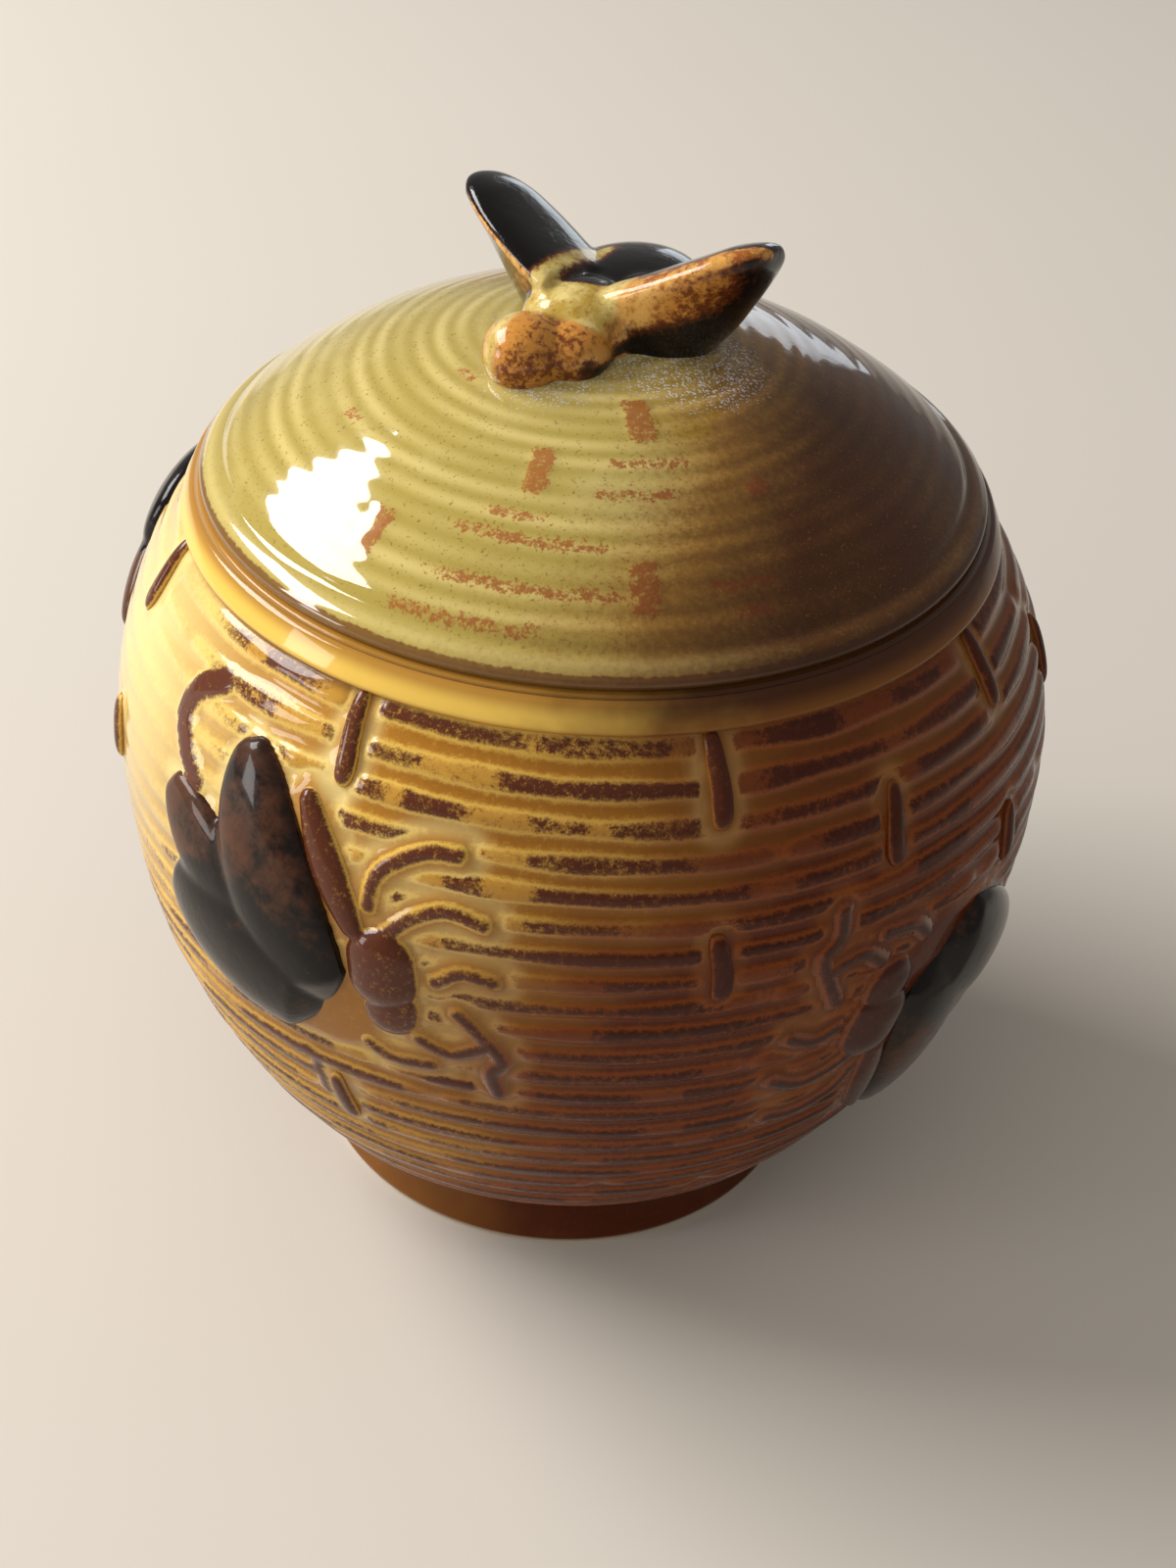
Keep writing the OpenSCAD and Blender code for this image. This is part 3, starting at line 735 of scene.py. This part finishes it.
def paint_knob(knob):
    """Dark wings and back, rust head, olive neck and saddle, amber where the wings catch the light; the
    wings' flanks darken towards the dome, in part painted shade.
    """
    normal = np.empty(len(knob.data.vertices) * 3)
    knob.data.vertices.foreach_get("normal", normal)
    x, y, z = knob_turned(mesh_places(knob), -1).T
    n = knob_turned(normal.reshape(-1, 3) + (0, 0, DOME_TOP), -1)
    right = y > 0
    wing = np.where(right, smooth(3.4, 6.6, y), smooth(-4.0, -5.6, y))
    t = np.clip((np.abs(y) - WING_FOOT) / WING_SPAN, 0, 1)
    (_, left_x, _, left_sweep, _, _), (_, right_x, _, right_sweep, _, _) = KNOB_WINGS
    foot_x = np.where(right, right_x, left_x) - np.where(right, right_sweep, left_sweep) * t
    reach = (x - foot_x) / (WING_W / 2 * np.maximum(leaf(t, *WING_LEAF), 0.2))
    front = np.where(right, smooth(0.4, 0.8, reach) * smooth(-0.25, 0.25, n[:, 2]), 0)
    facing = np.where(right, smooth(0.1, 0.5, n[:, 0]), smooth(0.72, 0.92, n[:, 0]))
    flank = facing * smooth(0.55, 0.1, n[:, 2])
    low = smooth(2.2, -1.6, z - 0.34 * np.abs(y))
    # The right wing's flank is painted darker towards its tip and down to the dome, the left one a little
    # near the dome: in part black glaze, in part painted shade under the wings.
    shaded_flank = np.where(right, np.clip(smooth(0.45, 1.05, t) * 0.75 + low * 0.85, 0, 1), 0.2 * low)
    top = 1 - np.clip(front + flank, 0, 1)
    wing_black = np.clip(top + shaded_flank * flank, 0, 1)
    front_line = x + 0.6 * (y + 1.6)
    back = smooth(5.6, 4.2, front_line) * (1 - wing)
    saddle = bell(y, -3.4 + 0.05 * x, 1.25) * smooth(-8.5, -4.5, x)
    black = np.clip(back * (1 - 0.95 * saddle) + wing * wing_black, 0, 1)
    olive = np.maximum(smooth(9.8, 7.4, x - 0.1 * z + 0.12 * y), 0.8 * saddle)
    bright_flank = flank * np.where(right, smooth(0.75, 0.1, t), 0.9)
    paint(knob, black=black, olive=(1 - wing) * olive,
          amber=np.clip(wing * (front * 0.5 + bright_flank), 0, 1))


# Glazes


class Net:
    """A short way to write a node tree."""

    def __init__(self, tree):
        self.tree = tree
        self.where = None

    def add(self, kind, **settings):
        node = self.tree.nodes.new(kind)
        for key, value in settings.items():
            setattr(node, key, value)
        return node

    def put(self, value, socket):
        if hasattr(value, "is_output"):
            self.tree.links.new(value, socket)
        else:
            socket.default_value = value

    def math(self, kind, a, b=0.0, clamp=False):
        node = self.add("ShaderNodeMath", operation=kind, use_clamp=clamp)
        self.put(a, node.inputs[0])
        self.put(b, node.inputs[1])
        return node.outputs[0]

    def times(self, a, b):
        return self.math("MULTIPLY", a, b)

    def plus(self, *terms):
        total = terms[0]
        for term in terms[1:]:
            total = self.math("ADD", total, term)
        return total

    def around(self, value, spread):
        """A noise moved to lie round nought, with a spread."""
        return self.times(self.math("SUBTRACT", value, 0.5), spread)

    def mix(self, share, a, b):
        node = self.add("ShaderNodeMix", data_type="RGBA")
        for name, value in (("Factor", share), ("A", a), ("B", b)):
            self.put(value, node.inputs[name])
        return node.outputs["Result"]

    def noise(self, scale, detail=3.0, rough=0.55):
        if self.where is None:
            self.where = self.add("ShaderNodeTexCoord").outputs["Object"]
        node = self.add("ShaderNodeTexNoise")
        given = {"Vector": self.where, "Scale": scale, "Detail": detail, "Roughness": rough}
        for name, value in given.items():
            self.put(value, node.inputs[name])
        return node.outputs["Fac"]

    def step(self, value, low, high):
        node = self.add("ShaderNodeMapRange", interpolation_type="SMOOTHSTEP")
        for name, given in (("Value", value), ("From Min", low), ("From Max", high)):
            self.put(given, node.inputs[name])
        return node.outputs["Result"]

    def mask(self, name):
        return self.add("ShaderNodeAttribute", attribute_name=name).outputs["Fac"]


def srgb(r, g, b):
    def channel(v):
        v /= 255
        return v / 12.92 if v <= 0.04045 else ((v + 0.055) / 1.055) ** 2.4
    return (channel(r), channel(g), channel(b), 1)


HIVE_MASKS = ("Ridge", "Straw", "Pool", "Shade")


def hive_glaze_group():
    """Amber glaze that breaks: brown or tan on thin crests, bright on slopes, deep in hollows; the bright
    slopes are in part a painted highlight, and the Shade mask paints shade.
    """
    tree = bpy.data.node_groups.new("breaking hive glaze", "ShaderNodeTree")
    for name in HIVE_MASKS:
        tree.interface.new_socket(name=name, in_out="INPUT", socket_type="NodeSocketFloat")
    kinds = {"Color": "NodeSocketColor", "Thinness": "NodeSocketFloat", "Ripple": "NodeSocketFloat"}
    for name, kind in kinds.items():
        tree.interface.new_socket(name=name, in_out="OUTPUT", socket_type=kind)
    net = Net(tree)
    given = net.add("NodeGroupInput").outputs
    out = net.add("NodeGroupOutput").inputs
    fine, grain, cloud = net.noise(1500, 3), net.noise(4600, 2), net.noise(85, 3)
    shade = net.math("ADD", given["Shade"], net.around(cloud, 0.5), clamp=True)
    crest_at = net.plus(given["Ridge"], net.around(fine, 0.5), net.around(grain, 0.4))
    slope, crest = net.step(crest_at, 0.0, 0.5), net.step(crest_at, 0.4, 0.9)
    # Each colour has a lit and a shaded form, mixed by the Shade mask: in part the glaze's own deeper brown,
    # in part painted shade.
    deep = net.mix(shade, srgb(168, 112, 32), srgb(82, 34, 12))
    # Slopes are painted bright, in part as a painted highlight.
    bright = net.mix(net.step(shade, 0.0, 0.8), srgb(230, 190, 88), srgb(132, 66, 24))
    pooled = net.mix(shade, srgb(244, 224, 150), srgb(142, 78, 28))
    brown = net.mix(shade, srgb(92, 46, 26), srgb(60, 23, 10))
    tan = net.mix(net.step(shade, 0.0, 0.8), srgb(190, 142, 58), srgb(104, 49, 20))
    cloudy = net.mix(net.times(slope, 0.8), deep, bright)
    base = net.mix(net.times(given["Pool"], 0.7), cloudy, pooled)
    strewn = net.plus(given["Straw"], net.around(fine, 1.9), net.around(grain, 1.3), net.around(cloud, 0.6))
    straw = net.step(strewn, 0.1, 0.95)
    net.put(net.mix(crest, base, net.mix(straw, tan, brown)), out["Color"])
    net.put(net.times(crest, straw), out["Thinness"])
    grit = net.times(net.times(fine, crest), 0.3)
    net.put(net.plus(net.times(cloud, 0.5), net.times(net.noise(420, 2), 0.35), grit), out["Ripple"])
    return tree


def glaze(name, coat=0.7):
    """A glossy glaze, to be given a colour and a roughness: its material, net, shader and bump."""
    material = bpy.data.materials.new(name)
    material.use_nodes = True
    net = Net(material.node_tree)
    shader = material.node_tree.nodes["Principled BSDF"]
    shader.inputs["Coat Weight"].default_value = coat
    shader.inputs["Coat Roughness"].default_value = 0.04
    shader.inputs["Coat IOR"].default_value = 1.42
    shader.inputs["Specular IOR Level"].default_value = 0.08
    bump = net.add("ShaderNodeBump")
    bump.inputs["Strength"].default_value = 0.35
    bump.inputs["Distance"].default_value = 0.0004
    net.put(bump.outputs["Normal"], shader.inputs["Normal"])
    return material, net, shader, bump


def hive_glaze(net):
    """The breaking glaze, fed with the masks painted on a piece."""
    node = net.add("ShaderNodeGroup", node_tree=HIVE_GLAZE)
    for name in HIVE_MASKS:
        net.put(net.mask(name.lower()), node.inputs[name])
    return node.outputs


def amber_glaze():
    """The pot: breaking glaze on the wall, a band on the collar, plain inside, a bare foot ring."""
    material, net, shader, bump = glaze("amber glaze")
    out = hive_glaze(net)
    up = net.mask("collar")
    band = net.mix(net.step(up, 0.02, 0.3), srgb(190, 128, 44), srgb(226, 186, 86))
    band = net.mix(net.step(up, 0.45, 0.95), band, srgb(168, 120, 48))
    # The collar's band darkens with the Shade mask: in part its own colour, in part painted shade.
    collar_shade = net.step(net.plus(net.mask("shade"), net.around(net.noise(160, 3), 0.5)), 0.05, 0.75)
    band = net.mix(collar_shade, band, net.mix(net.step(up, 0.2, 0.8), srgb(120, 74, 30), srgb(70, 38, 18)))
    collar = net.mix(net.step(up, 0.0, 0.12), out["Color"], band)
    lined = net.mix(net.times(net.mask("line"), 0.8), collar, srgb(104, 60, 30))
    inner = net.mix(net.mask("inside"), lined, srgb(206, 164, 92))
    parts = net.add("ShaderNodeSeparateXYZ")
    net.put(net.add("ShaderNodeTexCoord").outputs["Object"], parts.inputs[0])
    bare = net.step(parts.outputs["Z"], 0.9 * MM, 0.4 * MM)
    net.put(net.mix(bare, inner, srgb(196, 170, 132)), shader.inputs["Base Color"])
    roughness = net.plus(0.15, net.times(out["Thinness"], 0.15), net.times(bare, 0.5))
    net.put(roughness, shader.inputs["Roughness"])
    coat = net.math("SUBTRACT", 0.6, net.times(net.mask("shade"), 0.35))
    net.put(net.math("SUBTRACT", coat, net.times(bare, 0.25), clamp=True), shader.inputs["Coat Weight"])
    net.put(out["Ripple"], bump.inputs["Height"])
    return material


def rust_glaze():
    """The bodies of the bees on the wall."""
    material, net, shader, bump = glaze("rust glaze", 0.6)
    out = hive_glaze(net)
    net.put(out["Color"], shader.inputs["Base Color"])
    net.put(net.plus(0.14, net.times(out["Thinness"], 0.2)), shader.inputs["Roughness"])
    net.put(out["Ripple"], bump.inputs["Height"])
    return material


def olive_glaze():
    """The lid: yellow green to brown, the brown in part painted shade, with rust stitches, a dark edge and
    dust.
    """
    material, net, shader, bump = glaze("olive glaze")
    fine, grain, cloud = net.noise(1500, 3), net.noise(3600, 2), net.noise(70, 3)
    shade = net.plus(net.mask("shade"), net.around(cloud, 0.5), net.around(fine, 0.35),
                     net.around(grain, 0.2))
    hollow = net.math("SUBTRACT", 1.0, net.mask("ridge"), clamp=True)
    # Light, middle and dark forms of the glaze, chosen by the Shade mask: in part its own colours, in part
    # painted shade.
    light = net.mix(net.times(hollow, 0.75), srgb(204, 184, 112), srgb(154, 134, 50))
    light = net.mix(net.times(net.step(cloud, 0.5, 0.7), 0.4), light, srgb(208, 192, 128))
    middle = net.mix(net.times(hollow, 0.75), srgb(164, 120, 52), srgb(116, 80, 28))
    dark = net.mix(net.times(hollow, 0.5), srgb(78, 44, 20), srgb(56, 30, 14))
    body = net.mix(net.step(shade, 0.4, 1.1), net.mix(net.step(shade, 0.05, 0.7), light, middle), dark)
    specks = net.times(net.step(net.plus(grain, net.around(fine, 0.5)), 0.62, 0.72), 0.6)
    speckled = net.mix(specks, body, srgb(118, 80, 38))
    rust = net.step(net.plus(net.mask("rust"), net.around(fine, 1.8), net.around(grain, 1.4)), 0.45, 0.95)
    rusted = net.mix(net.times(rust, 0.85), speckled, net.mix(shade, srgb(160, 92, 40), srgb(92, 42, 20)))
    # A pale band along the lid's lip, in part a painted highlight.
    lip = net.mix(shade, srgb(212, 192, 120), srgb(104, 66, 32))
    pale_lip_and_highlight = net.mix(net.times(net.mask("lip"), 0.65), rusted, lip)
    edge = net.step(net.plus(net.mask("edge"), net.around(fine, 1.0)), 0.35, 0.75)
    edged = net.mix(net.times(edge, 0.85), pale_lip_and_highlight, net.mix(shade, srgb(112, 68, 30), srgb(66, 40, 24)))
    dust = net.times(net.step(net.plus(grain, net.times(net.mask("dust"), 0.1)), 0.64, 0.7), net.mask("dust"))
    dusted = net.mix(net.times(dust, 0.75), edged, srgb(214, 216, 222))
    net.put(net.mix(net.mask("inside"), dusted, srgb(200, 170, 108)), shader.inputs["Base Color"])
    net.put(net.plus(0.12, net.times(rust, 0.15), net.times(dust, 0.3)), shader.inputs["Roughness"])
    net.put(net.math("SUBTRACT", 1.0, net.times(net.mask("shade"), 0.65)), shader.inputs["Coat Weight"])
    shader.inputs["Coat IOR"].default_value = 1.5
    net.put(net.plus(net.times(cloud, 0.6), net.times(net.noise(300, 2), 0.3)), bump.inputs["Height"])
    return material


def black_glaze():
    """The wings on the wall: black, worn to brown, with painted shade in their creases."""
    material, net, shader, bump = glaze("black glaze", 0.4)
    fine, cloud = net.noise(900, 4, 0.65), net.noise(190, 4, 0.6)
    wear = net.plus(net.times(net.mask("worn"), 0.6), net.around(cloud, 1.5), net.around(fine, 0.7))
    worn = net.step(wear, 0.1, 0.7)
    body = net.mix(net.times(worn, 0.9), srgb(22, 17, 16), srgb(86, 52, 33))
    # Painted shade in the creases.
    body = net.mix(net.times(net.mask("crease"), 0.6), body, srgb(16, 12, 11))
    net.put(body, shader.inputs["Base Color"])
    net.put(net.plus(0.2, net.times(worn, 0.22)), shader.inputs["Roughness"])
    shader.inputs["Coat Roughness"].default_value = 0.07
    net.put(net.plus(cloud, net.times(fine, 0.25)), bump.inputs["Height"])
    return material


def knob_glaze():
    """The bee on the lid: rust, with olive, amber and black over it."""
    material, net, shader, bump = glaze("bee knob glaze", 0.65)
    fine, cloud = net.noise(1700, 4, 0.65), net.noise(330, 4, 0.6)
    jitter = net.plus(net.around(fine, 0.8), net.around(cloud, 0.6))
    rusty = net.step(net.plus(fine, net.around(cloud, 0.8)), 0.38, 0.66)
    rust = net.mix(rusty, srgb(196, 134, 58), srgb(112, 58, 28))
    olive = net.mix(net.step(cloud, 0.35, 0.65), srgb(212, 192, 122), srgb(170, 140, 58))
    olive = net.mix(net.times(net.step(fine, 0.5, 0.72), 0.7), olive, srgb(142, 92, 42))
    body = net.mix(net.step(net.plus(net.mask("olive"), jitter), 0.2, 0.8), rust, olive)
    toasted = net.step(net.plus(cloud, net.around(fine, 0.7)), 0.36, 0.64)
    amber = net.mix(toasted, srgb(214, 166, 90), srgb(150, 84, 34))
    edged = net.mix(net.step(net.plus(net.mask("amber"), jitter), 0.15, 0.7), body, amber)
    dark = net.plus(net.mask("black"), jitter)
    browned = net.mix(net.step(dark, 0.1, 0.5), edged, srgb(100, 48, 22))
    net.put(net.mix(net.step(dark, 0.36, 0.8), browned, srgb(14, 11, 10)), shader.inputs["Base Color"])
    net.put(net.math("SUBTRACT", 0.2, net.times(net.step(dark, 0.4, 0.7), 0.12)), shader.inputs["Roughness"])
    net.put(net.plus(cloud, net.times(fine, 0.3)), bump.inputs["Height"])
    return material


def pale_floor():
    """A matt floor of nearly one colour."""
    material = bpy.data.materials.new("pale floor")
    material.use_nodes = True
    net = Net(material.node_tree)
    shader = material.node_tree.nodes["Principled BSDF"]
    shader.inputs["Roughness"].default_value = 0.8
    shader.inputs["Specular IOR Level"].default_value = 0.2
    net.put(net.mix(net.noise(3, 2), srgb(206, 199, 188), srgb(212, 205, 195)), shader.inputs["Base Color"])
    return material


# Putting it together

HIVE_GLAZE = hive_glaze_group()


def settle(piece, material, body, slot, *nodes):
    """Glazes a piece, attaches it to its body and hides the CAD nodes that it stands in for; the slot is not
    used.
    """
    piece.data.materials.append(material)
    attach(piece, body)
    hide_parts(*nodes)


amber, black, rust = amber_glaze(), black_glaze(), rust_glaze()
for piece in (make_pot(), make_stitches()):
    settle(piece, amber, "pot", "amber_glaze", "pot_body")
for name, place in BEES.items():
    settle(make_wings(name, place), black, "pot", "black_glaze", name + "_bee_wings")
    settle(make_body(name, place), rust, "pot", "rust_glaze", name + "_bee_body")
settle(make_lid(), olive_glaze(), "lid", "olive_glaze", "lid_dome")
settle(make_knob(), knob_glaze(), "lid", "rust_glaze", "knob_bee_body", "knob_wing_left", "knob_wing_right")

# Stage, light, camera, in metres

FLOOR_HALF = 1.6
bm = bmesh.new()
bmesh.ops.create_grid(bm, x_segments=1, y_segments=1, size=FLOOR_HALF)
mesh = bpy.data.meshes.new("floor")
bm.to_mesh(mesh)
bm.free()
floor = bpy.data.objects.new("floor", mesh)
bpy.context.scene.collection.objects.link(floor)
floor.data.materials.append(pale_floor())

# Level on the pot's axis that the lamps look at.
AIM_Z = 0.05


def soft_light(name, azimuth, elevation, distance, size, power, colour=(1, 1, 1), glints=True):
    """An area light that looks at the pot from an angle round it and above the floor."""
    lamp = bpy.data.lights.new(name, "AREA")
    lamp.shape, lamp.size, lamp.size_y = "RECTANGLE", size[0], size[1]
    lamp.energy, lamp.color = power, colour
    a, e = radians(azimuth), radians(elevation)
    at = Vector((distance * cos(a) * cos(e), distance * sin(a) * cos(e), distance * sin(e) + AIM_Z))
    holder = bpy.data.objects.new(name, lamp)
    holder.location = at
    holder.rotation_euler = (Vector((0, 0, AIM_Z)) - at).to_track_quat("-Z", "Y").to_euler()
    holder.visible_glossy = glints
    bpy.context.scene.collection.objects.link(holder)


soft_light("window light", 166, 38, 1.0, (0.68, 0.36), 12.5, (1.0, 0.98, 0.96))
soft_light("back light", 76, 8, 1.2, (0.3, 0.3), 0.6, (0.85, 0.93, 1.0))
soft_light("low window light", 197, 10, 1.0, (0.24, 0.3), 2.0, (1.0, 0.98, 0.96))
soft_light("front fill", -112, 46, 1.4, (1.2, 1.2), 4.5, (1.0, 0.96, 0.9), glints=False)

world = bpy.data.worlds.new("soft room")
world.use_nodes = True
sky = world.node_tree.nodes["Background"]
sky.inputs["Color"].default_value = (1.0, 0.97, 0.93, 1)
sky.inputs["Strength"].default_value = 0.28
bpy.context.scene.world = world

# The camera, in millimetres as fitted to the photo, with the focal length in its pixels.
CAMERA_DISTANCE, CAMERA_TILT, CAMERA_ROLL = 275.7, radians(36.42), radians(3.73)
CAMERA_TARGET = (1.42, 0.0, 44.30)
FOCAL_PIXELS, IMAGE_HEIGHT, SENSOR = 2500, 1600, 36
eye = Vector((0, -CAMERA_DISTANCE * cos(CAMERA_TILT), CAMERA_TARGET[2] + CAMERA_DISTANCE * sin(CAMERA_TILT)))
forward = (Vector(CAMERA_TARGET) - eye).normalized()
right = forward.cross(Vector((0, 0, 1))).normalized()
up = right.cross(forward)
right, up = cos(CAMERA_ROLL) * right + sin(CAMERA_ROLL) * up, cos(CAMERA_ROLL) * up - sin(CAMERA_ROLL) * right
camera = bpy.data.objects.new("camera", bpy.data.cameras.new("camera"))
camera.data.sensor_width = SENSOR
camera.data.lens = FOCAL_PIXELS * SENSOR / IMAGE_HEIGHT
camera.data.clip_start = 0.01
camera.matrix_world = Matrix.Translation(eye * MM) @ Matrix((right, up, -forward)).transposed().to_4x4()
bpy.context.scene.collection.objects.link(camera)
bpy.context.scene.camera = camera
bpy.context.scene.view_settings.view_transform = "Standard"
